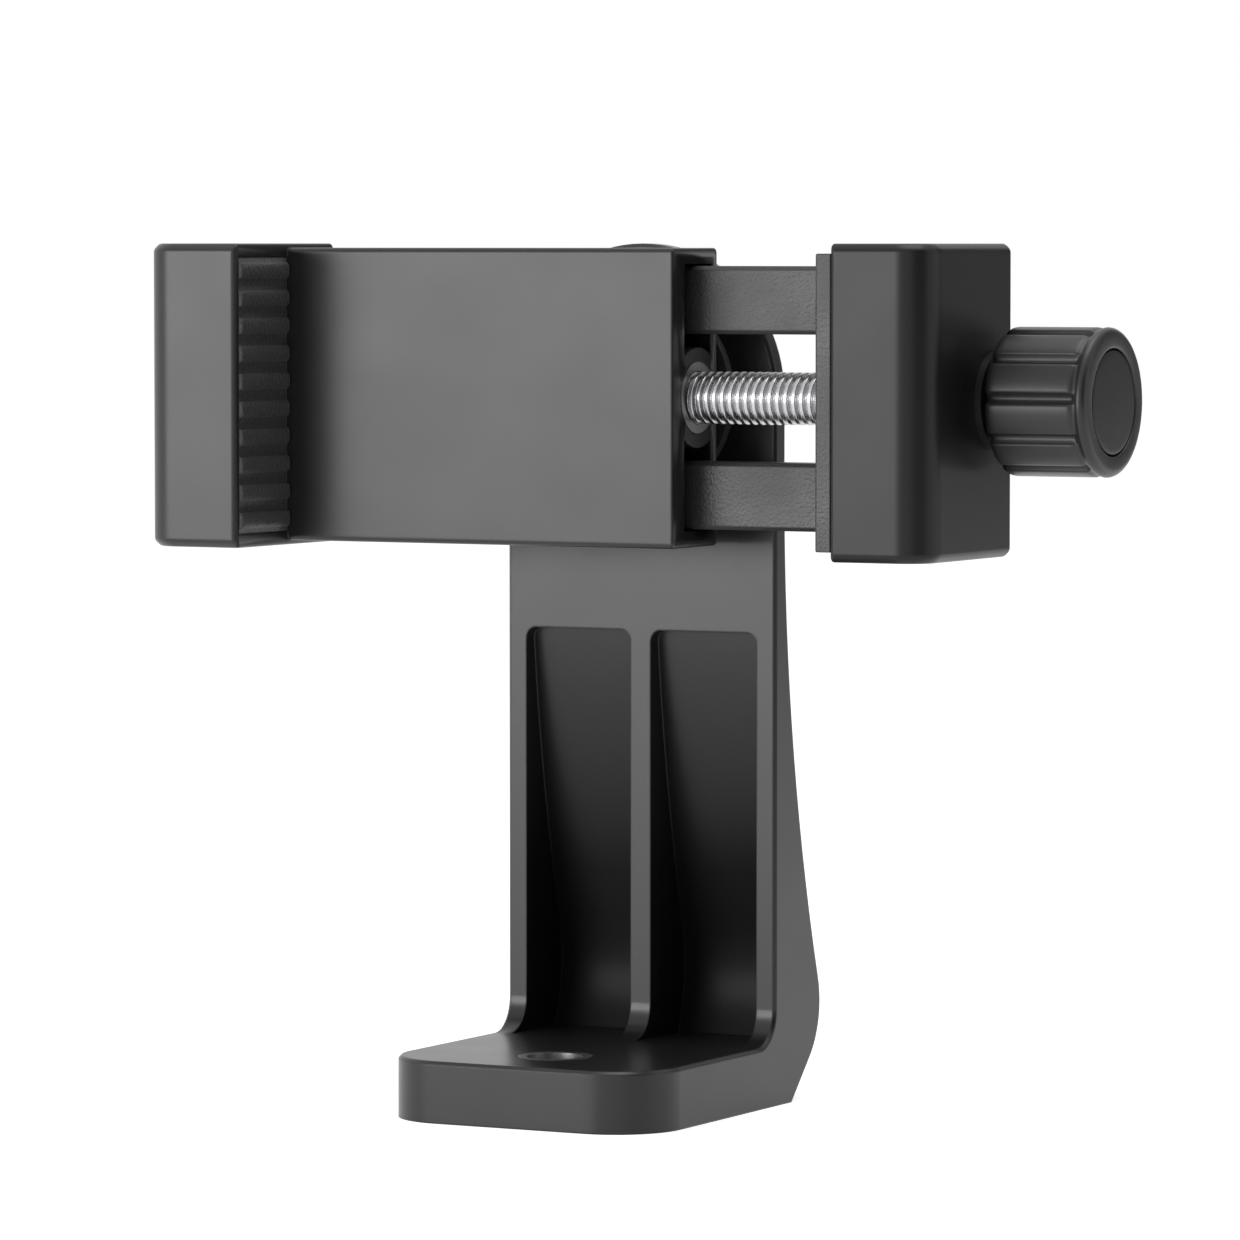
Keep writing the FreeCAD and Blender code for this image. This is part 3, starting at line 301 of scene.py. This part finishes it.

# %% [markdown]
# ## Metals
# The screw and the small fixings are zinc on steel. The tripod bush and the clamp's nut are
# nickel and the rear knob's nut is brass. The thrust washer is steel coloured near black, which
# is painted shade where the knob meets the jaw. Plating is never a clean mirror. Fine noise, in
# the roughness and as a very low relief, keeps the metal from looking like chrome.

# %% Metals of the screw, fixings and bushes
SCRATCH_MM = 0.12
SCRATCH_DEPTH_MM = 0.002
SMOOTHER, ROUGHER = 0.05, 0.07


def plated_metal(name, colour, roughness):
    """Plated steel or turned brass with fine scratches."""
    finish, shader = new_finish(name, colour, roughness, metallic=1.0)
    tree = finish.node_tree
    scratches = grain(finish, SCRATCH_MM, detail=5.0)
    rough = wander(finish, scratches, roughness - SMOOTHER, roughness + ROUGHER)
    tree.links.new(rough, shader.inputs["Roughness"])
    tree.links.new(relief(finish, scratches, SCRATCH_DEPTH_MM), shader.inputs["Normal"])
    return finish


screw_zinc = plated_metal("screw bright zinc", (0.50, 0.50, 0.51), 0.27)
fixing_zinc = plated_metal("fixing zinc", (0.68, 0.69, 0.71), 0.30)
clip_steel = plated_metal("clip spring steel", (0.35, 0.35, 0.37), 0.35)
bush_nickel = plated_metal("nut nickel", (0.30, 0.30, 0.31), 0.34)
# The thrust washer's near black colour is painted shade at the knob's foot.
washer_dark_as_shade = plated_metal("washer steel dark as painted shade", (0.05, 0.05, 0.052), 0.42)
bush_brass = plated_metal("bush brass", (0.72, 0.53, 0.24), 0.30)
print("metals ready")

# %% [markdown]
# ## Finishes on the solids
# Each solid is one real piece of one material, so it takes one finish in all its slots. The
# solids themselves are never moved or reshaped.

# %% Put the finishes on the solids
finish_of_node = {
    "bracket_arm": arm_plastic,
    "tripod_insert": bush_nickel,
    "friction_washer": washer_rubber,
    "clamp_body": clamp_plastic,
    "clamp_nut": bush_nickel,
    "pivot_bolt": fixing_zinc,
    "fixed_pad": pad_rubber,
    "jaw_slider": slider_plastic,
    "jaw_cover": cover_plastic,
    "jaw_screw_upper": fixing_zinc,
    "jaw_screw_lower": fixing_zinc,
    "moving_pad": pad_rubber,
    "thrust_washer": washer_dark_as_shade,
    "clamp_screw": screw_zinc,
    "screw_clip": clip_steel,
    "clamp_knob": knob_plastic,
    "clamp_knob_cap": cap_plastic,
    "pivot_washer": fixing_zinc,
    "pivot_knob": knob_plastic,
    "pivot_knob_nut": bush_brass,
    "pivot_knob_cap": cap_plastic,
}
for node, finish in finish_of_node.items():
    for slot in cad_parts[node].material_slots:
        slot.material = finish
print("dressed", len(finish_of_node), "solids")

# %% [markdown]
# ## Rounded edges
# A mould leaves a radius on its outer edges, and the soft highlight that runs along it is what
# makes black plastic readable. The solids of the two jaws carry plain chamfers there. Each gets
# a stand-in made from its own triangles: near the top and the bottom the flat ones are merged
# into whole faces, and then only the edges on the outside of the jaw are rounded. A Bevel
# modifier on the solid would be shorter, but it also reaches the thin ribs and the pad's recess,
# where there is no room for a round.

# %% Let a piece stand for a solid


def new_piece(name, shell):
    """Turn a shell of faces into an object with smooth faces."""
    mesh = bpy.data.meshes.new(name)
    shell.to_mesh(mesh)
    shell.free()
    mesh.polygons.foreach_set("use_smooth", [True] * len(mesh.polygons))
    piece = bpy.data.objects.new(name, mesh)
    bpy.context.collection.objects.link(piece)
    return piece


def stand_for(piece, node, body, finish):
    """Give a piece its finish, ride it on a body, and let it stand for a CAD node."""
    piece.data.materials.append(finish)
    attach(piece, body)
    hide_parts(node)


print("solids that a piece may stand for:", len(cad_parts))

# %% Copy a solid and round its outer edges
SAME_PLACE = 0.001 * MM
FLAT_WITHIN = math.radians(0.6)
SHARP_FROM = math.radians(24)
EDGE_ROUND = 0.28 * MM
ROUND_STEPS = 4
ROUND_ARC = 0.5
FAVOUR_LARGE_FACES = 95


def rounded_copy(node, name, beyond_mm):
    """A copy of a solid with its edges rounded beyond the given height from its middle."""
    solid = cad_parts[node]
    low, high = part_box(node)
    middle = (low.z + high.z) / 2
    shell = bmesh.new()
    shell.from_mesh(solid.data)
    shell.transform(solid.matrix_world)
    bmesh.ops.remove_doubles(shell, verts=shell.verts, dist=SAME_PLACE)

    def outside(edge):
        return all(abs(vert.co.z - middle) > beyond_mm * MM for vert in edge.verts)

    def sharp(edge):
        return len(edge.link_faces) == 2 and edge.calc_face_angle_signed() > SHARP_FROM

    near_rim = [edge for edge in shell.edges if outside(edge)]
    rim_verts = list({vert for edge in near_rim for vert in edge.verts})
    bmesh.ops.dissolve_limit(shell, angle_limit=FLAT_WITHIN, verts=rim_verts, edges=near_rim)
    outer = [edge for edge in shell.edges if outside(edge) and sharp(edge)]
    bmesh.ops.bevel(
        shell, geom=outer, offset=EDGE_ROUND, segments=ROUND_STEPS, profile=ROUND_ARC,
        affect="EDGES", clamp_overlap=False,
    )
    bmesh.ops.triangulate(shell, faces=[face for face in shell.faces if len(face.verts) > 4])
    piece = new_piece(name, shell)
    piece.data.set_sharp_from_angle(angle=SHARP_FROM)
    even = piece.modifiers.new("even normals", "WEIGHTED_NORMAL")
    even.keep_sharp = True
    even.weight = FAVOUR_LARGE_FACES
    print(name, "rounded edges:", len(outer), "faces:", len(piece.data.polygons))
    return piece


# %% Stand-ins for the two jaws
housing = rounded_copy("clamp_body", "clamp_housing", beyond_mm=16.3)
stand_for(housing, "clamp_body", "clamp", clamp_plastic)
jaw = rounded_copy("jaw_cover", "moving_jaw_shell", beyond_mm=16.5)
stand_for(jaw, "jaw_cover", "moving_jaw", cover_plastic)

# %% [markdown]
# ## A skin round an axis
# A screw and a knob are both turned shapes with something cut into them. Each could be a solid
# of revolution with cutters taken away, but then every groove has sharp edges. A grid wrapped
# round the axis follows any radius, so one function of the place along the axis and the angle
# gives both the turned shape and what is cut into it.

# %% Wrap a skin


def outward(name, shell):
    """Turn a closed shell into an object whose faces all look outward."""
    bmesh.ops.recalc_face_normals(shell, faces=shell.faces)
    return new_piece(name, shell)


def wrapped(name, stations, angles, radius_at, place):
    """A closed skin round an axis. radius_at(station, angle) gives each point's radius, and
    place(station, radius, angle) its spot. A fan closes each end."""
    shell = bmesh.new()
    rings = []
    for station in stations:
        spots = [place(station, radius_at(station, angle), angle) for angle in angles]
        rings.append([shell.verts.new(spot) for spot in spots])
    around = len(angles)
    for near, far in zip(rings, rings[1:]):
        for step in range(around):
            after = (step + 1) % around
            shell.faces.new((near[step], near[after], far[after], far[step]))
    for ring, station in ((rings[0], stations[0]), (rings[-1], stations[-1])):
        middle = shell.verts.new(place(station, 0, 0))
        for step in range(around):
            shell.faces.new((ring[step], ring[(step + 1) % around], middle))
    return outward(name, shell)


def even_angles(count):
    """Angles of a full turn in equal steps."""
    return [2 * math.pi * step / count for step in range(count)]


print("skin helpers ready")

# %% The two axes


def about_x(centre_y, centre_z):
    """Stations run along X; angle 0 points to -Y and a quarter turn up."""

    def place(station, radius, angle):
        y = centre_y - radius * math.cos(angle)
        return (station, y, centre_z + radius * math.sin(angle))

    return place


def about_y(centre_x, centre_z):
    """Stations run along Y, towards the rear; angle 0 points to +X and a quarter turn up."""

    def place(station, radius, angle):
        return (centre_x + radius * math.cos(angle), station, centre_z + radius * math.sin(angle))

    return place


print("axes ready")

# %% [markdown]
# ## The screw's thread
# A real M6 screw has a ridge that winds round it once every millimetre. The solid is a plain
# cylinder, and a bump could only draw rings on it, while the thread shows in the screw's very
# outline. So the skin's radius follows a ridge whose phase advances with the angle, which is
# what makes it a helix. The last stretch, inside the jaw, is plain.

# %% Measure the screw
screw_low, screw_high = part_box("clamp_screw")
screw_axis = ((screw_low.y + screw_high.y) / 2, (screw_low.z + screw_high.z) / 2)
SCREW_RADIUS = (screw_high.z - screw_low.z) / 2
thread_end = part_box("jaw_slider")[1].x
print("screw from", round(screw_low.x / MM, 2), "to", round(screw_high.x / MM, 2), "mm")

# %% Cut the thread
PITCH = 1.0 * MM
THREAD_DEPTH = 0.55 * MM
FLANK_SLOPE, CREST_WIDTH = 3.2, 0.6
FADE_LENGTH = 1.5 * MM
TIP_CHAMFER = 0.8 * MM
RINGS_PER_TURN = 14
AROUND_SCREW = 40
PLAIN_STEP = 0.5 * MM


def screw_radius(x, angle):
    """A thread with a crest and a rounded root, which fades out under the jaw's plate."""
    phase = (x / PITCH - angle / (2 * math.pi)) % 1
    share = min(1, max(0, abs(phase - 0.5) * FLANK_SLOPE - CREST_WIDTH))
    deep = THREAD_DEPTH * (3 * share**2 - 2 * share**3)
    fade = min(1, max(0, (thread_end - x) / FADE_LENGTH))
    limit = SCREW_RADIUS - max(0, TIP_CHAMFER - (x - screw_low.x))
    return min(SCREW_RADIUS - deep * fade, limit)


threaded = thread_end - screw_low.x
rings = int(threaded / PITCH * RINGS_PER_TURN)
stations = [screw_low.x + threaded * ring / rings for ring in range(rings + 1)]
stations += [thread_end + PLAIN_STEP, screw_high.x]
screw = wrapped(
    "clamp_screw_thread", stations, even_angles(AROUND_SCREW), screw_radius, about_x(*screw_axis)
)
stand_for(screw, "clamp_screw", "clamp_screw_and_knob", screw_zinc)
print("thread faces:", len(screw.data.polygons))

# %% [markdown]
# ## The knobs
# Each knob is one moulding: a neck, a body with eleven narrow grooves for grip, and a rounded
# rim round a recess for the cap. The mould is milled with a ball cutter, so the grooves have
# round bottoms and round ends, and the lands between them dip slightly before the rim. One list
# gives the profile from the neck to the recess, and one function says how deep the groove is at
# each angle. The angles are close together across a groove and wide apart on a land.

# %% The shape of a groove
BODY_RADIUS = 8.3
GROOVES = 11
GROOVE_HALF = 0.72
GROOVE_DEPTH = 0.62
LAND_CROWN = 0.16
FIRST_GROOVE = math.radians(3.7)
ACROSS_GROOVE = (-1, -0.94, -0.82, -0.62, -0.35, 0, 0.35, 0.62, 0.82, 0.94, 1)
LAND_STEPS = 6
SHOULDER = 0.06
spacing = 2 * math.pi / GROOVES
groove_reach = GROOVE_HALF / BODY_RADIUS
land = spacing - 2 * groove_reach
knob_angles = []
for groove in range(GROOVES):
    here = FIRST_GROOVE + spacing * groove
    knob_angles += [here + groove_reach * across for across in ACROSS_GROOVE]
    start = here + groove_reach + SHOULDER * land
    width = land * (1 - 2 * SHOULDER)
    knob_angles += [start + width * step / LAND_STEPS for step in range(LAND_STEPS + 1)]


def groove_at(angle):
    """From 0 on a land to 1 in the middle of a groove, with a round bottom."""
    off = (angle - FIRST_GROOVE + spacing / 2) % spacing - spacing / 2
    across = min(1, abs(off) / groove_reach)
    return (1 - across**2) ** 0.75


def crown_at(angle):
    """From 0 in the middle of a land to 1 at the grooves on each side of it."""
    off = (angle - FIRST_GROOVE) % spacing - spacing / 2
    return (off / (spacing / 2)) ** 4


print("angles round a knob:", len(knob_angles))

# %% The knob's profile in millimetres
BORE, BORE_DEEP = 3.1, 0.9
NECK, NECK_CHAMFER, NECK_LENGTH = 4.4, 0.2, 1.4
BACK_INNER, BACK_ROUND = 7.1, 0.8
GROOVE_STOP = 1.6
GROOVE_END = (
    (-0.35, 0.02, 0.96), (-0.2, 0.07, 0.85), (-0.1, 0.14, 0.66), (0.0, 0.2, 0.4),
    (0.08, 0.23, 0.18), (0.16, 0.24, 0.05), (0.28, 0.22, 0.0), (0.4, 0.17, 0.0),
    (0.55, 0.08, 0.0), (0.7, 0.02, 0.0),
)  # along from the groove's stop, dip below the body, share of the groove's depth
AFTER_NECK, BEFORE_STOP = 1.4, (1.5, 0.6)
LIP_TURNS = (0, 0.4, 0.8, 1.2, 1.57)
RIM_ROUND, RIM_FLAT = 0.85, 7.2
LIP, LIP_ROUND, RECESS = 6.22, 0.24, 5.98


def arc(centre_t, centre_r, radius, begin, end, steps):
    """Points of a round corner in the profile, as (along, out)."""
    points = []
    for step in range(steps + 1):
        angle = math.radians(begin + (end - begin) * step / steps)
        points.append((centre_t + radius * math.sin(angle), centre_r + radius * math.cos(angle)))
    return points


def knob_profile(length, recess_at):
    """(along, out, share of the groove's depth), from the neck to the cap's recess."""
    points = [(BORE_DEEP, BORE, 0), (0.0, BORE, 0), (0.0, NECK - NECK_CHAMFER, 0)]
    points += [(NECK_CHAMFER, NECK, 0), (NECK_LENGTH, NECK, 0), (NECK_LENGTH, BACK_INNER, 0.5)]
    back = arc(NECK_LENGTH + BACK_ROUND, BODY_RADIUS - BACK_ROUND, BACK_ROUND, -90, 0, 4)
    points += [(along, out, 1.0) for along, out in back]
    stop = length - GROOVE_STOP
    body = [NECK_LENGTH + AFTER_NECK, *(stop - before for before in BEFORE_STOP)]
    points += [(along, BODY_RADIUS, 1.0) for along in body]
    points += [(stop + along, BODY_RADIUS - dip, share) for along, dip, share in GROOVE_END]
    rim = arc(length - RIM_ROUND, BODY_RADIUS - RIM_ROUND, RIM_ROUND, 0, 84, 8)
    points += [(along, out, 0.0) for along, out in rim]
    points += [(length, RIM_FLAT, 0)]
    for turn in LIP_TURNS:
        along = length - LIP_ROUND + LIP_ROUND * math.cos(turn)
        points.append((along, LIP - LIP_ROUND * math.sin(turn), 0.0))
    points += [(recess_at, RECESS, 0)]
    return points


print("grooves end", GROOVE_STOP, "mm before the rim")

# %% Turn a knob and a cap
CAP_RADIUS = 5.78
CAP_EDGE, CAP_DOME = 0.18, 0.08
CAP_SEAT = 4.0
CAP_RINGS = (5.2, 4.4, 3.2, 1.8, 0.6)
AROUND_CAP = 96


def turn_knob(name, start, length, recess_at, place):
    """A knob whose neck begins at start; its length and recess are in millimetres."""
    profile = knob_profile(length, recess_at)

    def radius_at(row, angle):
        _, out, share = profile[row]
        cut = GROOVE_DEPTH * groove_at(angle) + LAND_CROWN * crown_at(angle)
        return (out - share * cut) * MM

    def spot(row, radius, angle):
        return place(start + profile[row][0] * MM, radius, angle)

    return wrapped(name, range(len(profile)), knob_angles, radius_at, spot)


def turn_cap(name, start, thickness, place):
    """A disc with rounded edges and a faint dome, pressed into the knob's recess."""
    profile = [(0.0, CAP_SEAT), (0.0, CAP_RADIUS)]
    profile += arc(thickness - CAP_DOME - CAP_EDGE, CAP_RADIUS - CAP_EDGE, CAP_EDGE, 0, 90, 4)
    profile += [(thickness - CAP_DOME * (out / CAP_RADIUS) ** 2, out) for out in CAP_RINGS]

    def radius_at(row, angle):
        return profile[row][1] * MM

    def spot(row, radius, angle):
        return place(start + profile[row][0] * MM, radius, angle)

    return wrapped(name, range(len(profile)), even_angles(AROUND_CAP), radius_at, spot)


print("knob and cap recipes ready")

# %% Make both knobs and their caps
rear_low, rear_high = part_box("pivot_knob")
clamp_place = about_x(*screw_axis)
pivot_place = about_y((rear_low.x + rear_high.x) / 2, (rear_low.z + rear_high.z) / 2)
for name, axis, place, body in (
    ("clamp_knob", 0, clamp_place, "clamp_screw_and_knob"),
    ("pivot_knob", 1, pivot_place, "rear_knob"),
):
    low, high = (corner[axis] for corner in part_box(name))
    cap_low, cap_high = (corner[axis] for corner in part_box(name + "_cap"))
    length = (high - low) / MM
    knob = turn_knob(name + "_moulding", low, length, (cap_low - low) / MM, place)
    stand_for(knob, name, body, knob_plastic)
    cap = turn_cap(name + "_disc", cap_low, (cap_high - cap_low) / MM, place)
    stand_for(cap, name + "_cap", body, cap_plastic)
    print(name, "length", round(length, 2), "mm")
    print("faces:", len(knob.data.polygons), "and", len(cap.data.polygons))

# %% [markdown]
# ## The ribbed pads
# The pads are moulded rubber with ribs that grip the phone's edge. Rubber leaves the mould with
# full, soft rib tops and rounded rib ends, which a box-shaped rib can't show. Each pad is a grid
# over its face: the height of a point is the product of a rounded profile across the rib and a
# rounded run-out towards its ends, and walls join the grid's border to the pad's flat back.

# %% The pad's grid in millimetres
RIB_PITCH = 3.2
RIB_HALF = 0.95
RIB_HEIGHT = 0.55
RIB_END = 0.5
ROUNDNESS = 2.6
NEAR_AN_END = (0, 0.05, 0.12, 0.22, 0.35, RIB_END, 0.9)
RIB_TURNS = range(-90, 91, 15)


def rounded(share):
    """1 in the middle of a rib, falling to 0 at share 1 along a superellipse."""
    return max(0.0, 1 - min(1.0, abs(share)) ** ROUNDNESS) ** (1 / ROUNDNESS)


def rib_middles(tall, ribs):
    """Heights of the ribs' middles, even about the pad's own middle."""
    return [tall / 2 + (rib - (ribs - 1) / 2) * RIB_PITCH for rib in range(ribs)]


def rows_of_heights(tall, ribs):
    """Heights of the grid's rows: close together on the ribs' flanks, none in the valleys."""
    rows = [0.0, tall]
    for middle in rib_middles(tall, ribs):
        rows += [middle + RIB_HALF * math.sin(math.radians(turn)) for turn in RIB_TURNS]
    return sorted({round(z, 5) for z in rows})


print("ribs", RIB_HEIGHT, "mm high, one every", RIB_PITCH, "mm")

# %% Mould a pad


def ribbed_skin(name, node, ribs, facing):
    """A pad whose ribs face +X or -X, in the box of its solid."""
    low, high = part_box(node)
    back = low.x if facing > 0 else high.x
    valley = (high.x - RIB_HEIGHT * MM) if facing > 0 else (low.x + RIB_HEIGHT * MM)
    deep = (high.y - low.y) / MM
    tall = (high.z - low.z) / MM
    across = [*NEAR_AN_END, deep / 2, *(deep - end for end in reversed(NEAR_AN_END))]
    middles = rib_middles(tall, ribs)
    shell = bmesh.new()
    rows = []
    for z in rows_of_heights(tall, ribs):
        off = min(abs(z - middle) for middle in middles)
        row = []
        for y in across:
            run_out = rounded(max(0, 1 - min(y, deep - y) / RIB_END))
            height = RIB_HEIGHT * rounded(off / RIB_HALF) * run_out
            spot = (valley + facing * height * MM, low.y + y * MM, low.z + z * MM)
            row.append(shell.verts.new(spot))
        rows.append(row)
    for under, over in zip(rows, rows[1:]):
        for k in range(len(across) - 1):
            shell.faces.new((under[k], under[k + 1], over[k + 1], over[k]))
    right, left = [row[-1] for row in rows[1:]], [row[0] for row in rows[-2:0:-1]]
    border = rows[0] + right + rows[-1][-2::-1] + left
    rear = [shell.verts.new((back, vert.co.y, vert.co.z)) for vert in border]
    for k, vert in enumerate(border):
        after = (k + 1) % len(border)
        shell.faces.new((vert, rear[k], rear[after], border[after]))
    shell.faces.new(rear)
    return outward(name, shell)


for name, node, ribs, facing, body in (
    ("fixed_pad_ribs", "fixed_pad", 10, 1, "clamp"),
    ("moving_pad_ribs", "moving_pad", 9, -1, "moving_jaw"),
):
    pad = ribbed_skin(name, node, ribs, facing)
    stand_for(pad, node, body, pad_rubber)
    print(name, "faces:", len(pad.data.polygons))

# %% [markdown]
# ## The camera
# The photograph was taken from a little to the right of the front, with a long lens that looks
# slightly down. A long lens from further away keeps the clamp's edges almost parallel, as they
# are in the picture. The camera goes to the same place in the CAD frame.

# %% Place the camera
SENSOR_MM = 36.0
LENS_MM = 200.03
NEAR_LIMIT = 0.01
CAMERA_PLACE = Vector((369.49, -684.91, 99.45)) * MM
BACKWARD = Vector((0.46568, -0.88325, 0.05495))
camera_data = bpy.data.cameras.new("camera")
camera_data.sensor_width = SENSOR_MM
camera_data.lens = LENS_MM
camera_data.clip_start = NEAR_LIMIT
camera = bpy.data.objects.new("camera", camera_data)
bpy.context.collection.objects.link(camera)
camera.location = CAMERA_PLACE
camera.rotation_euler = (-BACKWARD).to_track_quat("-Z", "Y").to_euler()
bpy.context.scene.camera = camera
bpy.context.scene.view_settings.view_transform = "Standard"
print("camera at", [round(c / MM) for c in camera.location], "mm")

# %% [markdown]
# ## Floor and room
# The picture has a plain white ground. More light would make the floor white, and would wash out
# the object with it. Here the floor and the room glow instead, at one level where they light the
# object, and at a higher one where they are seen, directly or in metal and shiny plastic. The
# floor keeps a diffuse part, so that the object's shadow still falls on it.

# %% White where it is seen


def white_where_seen(tree, lighting, seen, socket):
    """Drive a strength: one level where it lights things, another where it is seen."""
    path = tree.nodes.new("ShaderNodeLightPath")
    direct = path.outputs["Is Camera Ray"]
    for kind in ("Is Glossy Ray", "Is Transmission Ray"):
        either = tree.nodes.new("ShaderNodeMath")
        either.operation = "MAXIMUM"
        tree.links.new(direct, either.inputs[0])
        tree.links.new(path.outputs[kind], either.inputs[1])
        direct = either.outputs[0]
    tree.links.new(between(tree, direct, 0.0, 1.0, lighting, seen), socket)


def staged_sheet(name, corners, finish):
    """A single staged rectangle, for the floor or a cloth."""
    mesh = bpy.data.meshes.new(name)
    mesh.from_pydata(corners, [], [(0, 1, 2, 3)])
    mesh.materials.append(finish)
    sheet = bpy.data.objects.new(name, mesh)
    bpy.context.collection.objects.link(sheet)
    return sheet


print("room helpers ready")

# %% A pale floor
FLOOR_HALF = 4.0
FLOOR_PALE = 0.92
FLOOR_ROUGHNESS = 0.9
FLOOR_LIGHTING, FLOOR_SEEN = 0.1, 0.74
floor_finish, floor_shader = new_finish(
    "pale floor", (FLOOR_PALE,) * 3, FLOOR_ROUGHNESS, specular=0.0
)
floor_shader.inputs["Emission Color"].default_value = (1, 1, 1, 1)
floor_glow = floor_shader.inputs["Emission Strength"]
white_where_seen(floor_finish.node_tree, FLOOR_LIGHTING, FLOOR_SEEN, floor_glow)
around = ((-1, -1), (1, -1), (1, 1), (-1, 1))
staged_sheet("floor", [(x * FLOOR_HALF, y * FLOOR_HALF, 0) for x, y in around], floor_finish)
print("floor laid")

# %% The white room
ROOM_LIGHTING, ROOM_SEEN = 0.3, 1.0
world = bpy.data.worlds.new("white room")
bpy.context.scene.world = world
world.use_nodes = True
room = world.node_tree.nodes["Background"]
room.inputs["Color"].default_value = (1, 1, 1, 1)
white_where_seen(world.node_tree, ROOM_LIGHTING, ROOM_SEEN, room.inputs["Strength"])
print("room ready")

# %% [markdown]
# ## Lamps and cloths
# Black plastic shows mostly what it mirrors, so the size and place of the lamps matter more than
# their strength. A wide, low softbox at the front left is mirrored by the faces that look at the
# phone, and one above lights what looks up. Two dark cloths stand where the camera can't see
# them, as photographers put them beside dark products: one at the right of the camera gives the
# rounded edges their dark lines, and a grey one at the right behind the object takes the glare
# off the faces that look to the right.

# %% Softboxes


def softbox(name, place, target, size, radiance):
    """A rectangular lamp whose face has the given radiance, whatever its size."""
    lamp_data = bpy.data.lights.new(name, "AREA")
    lamp_data.shape = "RECTANGLE"
    lamp_data.size, lamp_data.size_y = size
    lamp_data.energy = radiance * math.pi * size[0] * size[1]
    lamp = bpy.data.objects.new(name, lamp_data)
    bpy.context.collection.objects.link(lamp)
    lamp.location = place
    facing = Vector(target) - Vector(place)
    lamp.rotation_euler = facing.to_track_quat("-Z", "Y").to_euler()


softbox(
    "front left softbox", place=(-0.62, -1.05, 0.06), target=(0, 0, 0.05),
    size=(0.9, 0.60), radiance=7.4,
)
softbox(
    "top softbox", place=(0.1, 0.1, 1.3), target=(0, 0, 0.06), size=(0.8, 0.8), radiance=3.0
)

# %% Dark cloths
CLOTH_HALF = 0.35
CLOTH_ROUGHNESS = 0.95
CLOTH_BOTTOM, CLOTH_TOP = -0.3, 0.8
cloth_corners = [
    (-CLOTH_HALF, 0, CLOTH_BOTTOM), (CLOTH_HALF, 0, CLOTH_BOTTOM),
    (CLOTH_HALF, 0, CLOTH_TOP), (-CLOTH_HALF, 0, CLOTH_TOP),
]
for name, finish_name, shade, place, turn_deg in (
    ("flag beside the camera", "black cloth", 0.01, (0.75, -0.42, 0.0), 61),
    ("flag behind", "grey cloth", 0.30, (0.45, 0.86, 0.0), -27.8),
):
    finish, _ = new_finish(finish_name, (shade,) * 3, CLOTH_ROUGHNESS, specular=0.0)
    cloth = staged_sheet(name, cloth_corners, finish)
    cloth.location = place
    cloth.rotation_euler = (0, 0, math.radians(turn_deg))
    cloth.visible_camera = False
    print(name, "hung at", place)
